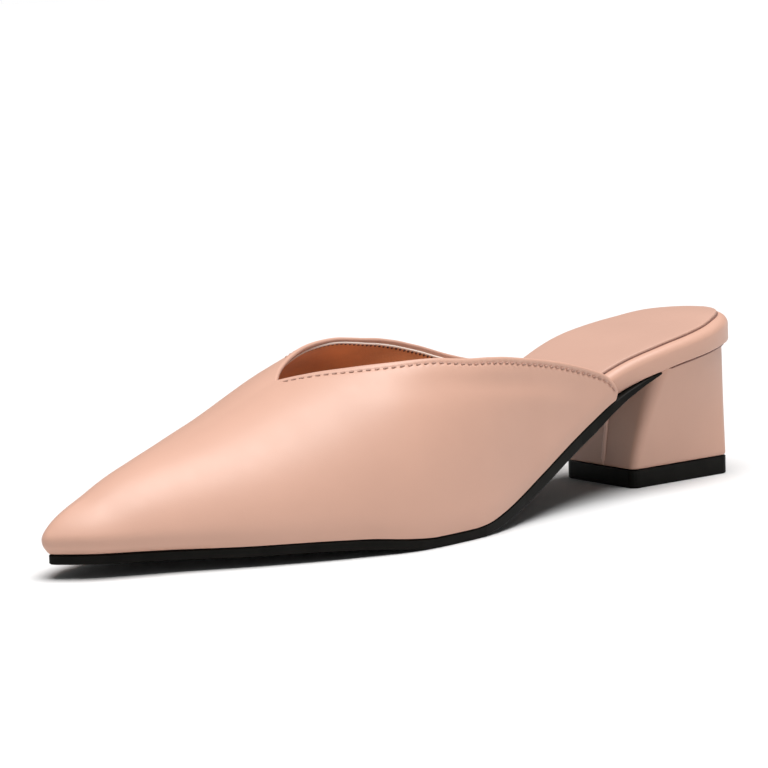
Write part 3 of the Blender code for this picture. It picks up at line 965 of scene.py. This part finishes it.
def thread(name, color):
    """Twisted thread, also used for the dark strands of painted shade."""
    made = Finish(name, Sheen_Weight=0.1)
    made.color(made.noise(1500.0, 2.0), (0.3, shade(color, 0.75)), (0.7, shade(color, 1.2)))
    made.rough(made.noise(3000.0), 0.5, 0.7)
    made.relief((made.noise(4200.0, 2.0), 0.4, 0.0001))
    return made.material


def rubber(name, color, roughness):
    """Black moulded rubber with a fine matt skin and faint scuffs."""
    made = Finish(name, Specular_IOR_Level=0.07)
    made.color(made.noise(120.0, 5.0), (0.35, color), (0.75, shade(color, 1.9)))
    made.rough(made.noise(420.0, 4.0), roughness - 0.06, roughness + 0.12)
    made.relief((made.noise(1800.0), 0.18, 0.0001), (made.noise(90.0), 0.08, 0.0005))
    return made.material


def paper(name, color):
    """Floor paper with a barely uneven surface."""
    made = Finish(name)
    made.color(made.noise(3.0), (0.3, shade(color, 0.995)), (0.7, color))
    made.rough(made.noise(20.0), 0.85, 0.95)
    return made.material


def make_pieces():
    """Every piece that is seen, and the CAD nodes that some of them stand for."""
    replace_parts(make_upper(leather("pink_leather", LEATHER_PINK, LEATHER_ROUGH)), "upper")
    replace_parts(make_footbed(leather("footbed_leather", LEATHER_PINK, FOOTBED_ROUGH)), "insole")
    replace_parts(make_sock(leather("sock_leather", SOCK_PINK, SOCK_ROUGH)), "sock")
    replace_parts(make_heel(leather("heel_leather", LEATHER_PINK, LEATHER_ROUGH)), "heel")
    # The breast seam's paler leather is partly painted highlight
    make_breast_seam(leather("seam_lit_leather", SEAM_LIT_PINK, TRIM_ROUGH))
    # Dark strand at the sock's edge: painted shade in the gap between sock and rim
    make_sock_gap_shade(thread("painted_gap_shade", SHADE_BROWN))
    # Dark strand under the footbed's rim: painted shade where the rim overhangs the heel
    make_heel_rim_shade(thread("heel_rim_shade_dark", SHADE_BROWN))
    make_lining(suede("lining_suede", LINING_BROWN))
    make_piping(leather("piping_cream", PIPING_CREAM, TRIM_ROUGH))
    make_lining_stitches(thread("dark_thread", DARK_THREAD))
    make_outer_stitches(thread("brown_thread", THREAD_BROWN))


def finish_rubber():
    """Rubber on the CAD's own outsole and top piece."""
    for node, roughness in (("outsole", OUTSOLE_ROUGH), ("top_piece", TOP_PIECE_ROUGH)):
        finish = rubber(node + "_rubber", RUBBER_BLACK, roughness)
        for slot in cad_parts[node].material_slots:
            slot.material = finish


# Camera and studio

def make_camera():
    """Camera where the photograph was taken from."""
    back = np.array([math.cos(CAMERA_TURN) * math.cos(CAMERA_HEIGHT),
                     -math.sin(CAMERA_TURN) * math.cos(CAMERA_HEIGHT), math.sin(CAMERA_HEIGHT)])
    right = np.array([math.sin(CAMERA_TURN), math.cos(CAMERA_TURN), 0.0])
    up = np.cross(back, right)
    across = right * math.cos(CAMERA_ROLL) - up * math.sin(CAMERA_ROLL)
    upward = right * math.sin(CAMERA_ROLL) + up * math.cos(CAMERA_ROLL)
    data = bpy.data.cameras.new("camera")
    data.sensor_width = SENSOR_WIDTH
    data.lens = CAMERA_FOCUS / FRAME_PIXELS * SENSOR_WIDTH
    data.clip_start = NEAR_CLIP
    made = bpy.data.objects.new("camera", data)
    bpy.context.scene.collection.objects.link(made)
    matrix = Matrix(np.stack([across, upward, back], axis=1).tolist()).to_4x4()
    aim = np.array([ORIGIN[0], CAMERA_AIM[0] + ORIGIN[1], CAMERA_AIM[1]])
    matrix.translation = (aim + back * CAMERA_DISTANCE).tolist()
    made.matrix_world = matrix
    bpy.context.scene.camera = made


def make_world():
    """Weak even surroundings whose horizon is white, like the paper behind the shoe."""
    scene = bpy.context.scene
    scene.view_settings.view_transform = "Standard"
    scene.world = bpy.data.worlds.new("studio")
    scene.world.use_nodes = True
    nodes, links = scene.world.node_tree.nodes, scene.world.node_tree.links
    nodes["Background"].inputs["Color"].default_value = (1.0, 1.0, 1.0, 1.0)
    direction = nodes.new("ShaderNodeTexCoord")
    split = nodes.new("ShaderNodeSeparateXYZ")
    fade = nodes.new("ShaderNodeMapRange")
    for socket, value in zip(("From Min", "From Max", "To Min", "To Max"), HORIZON_FADE):
        fade.inputs[socket].default_value = value
    links.new(direction.outputs["Generated"], split.inputs["Vector"])
    links.new(split.outputs["Z"], fade.inputs["Value"])
    links.new(fade.outputs["Result"], nodes["Background"].inputs["Strength"])


def make_floor():
    """Plain white paper floor."""
    mesh = bpy.data.meshes.new("floor")
    corners = [(-1, -1), (1, -1), (1, 1), (-1, 1)]
    mesh.from_pydata([(x * FLOOR_REACH, y * FLOOR_REACH, 0.0) for x, y in corners], [], [(0, 1, 2, 3)])
    mesh.materials.append(paper("floor_paper", FLOOR_WHITE))
    floor = bpy.data.objects.new("floor", mesh)
    bpy.context.scene.collection.objects.link(floor)


def make_light():
    """One large soft light from above."""
    data = bpy.data.lights.new("sky_light", "SUN")
    data.energy = SKY_LIGHT
    data.angle = SKY_SOFTNESS
    sky = bpy.data.objects.new("sky_light", data)
    bpy.context.scene.collection.objects.link(sky)
    sky.rotation_mode = "QUATERNION"
    sky.rotation_quaternion = Vector(SKY_FROM).to_track_quat("Z", "Y")


make_pieces()
finish_rubber()
make_camera()
make_world()
make_floor()
make_light()
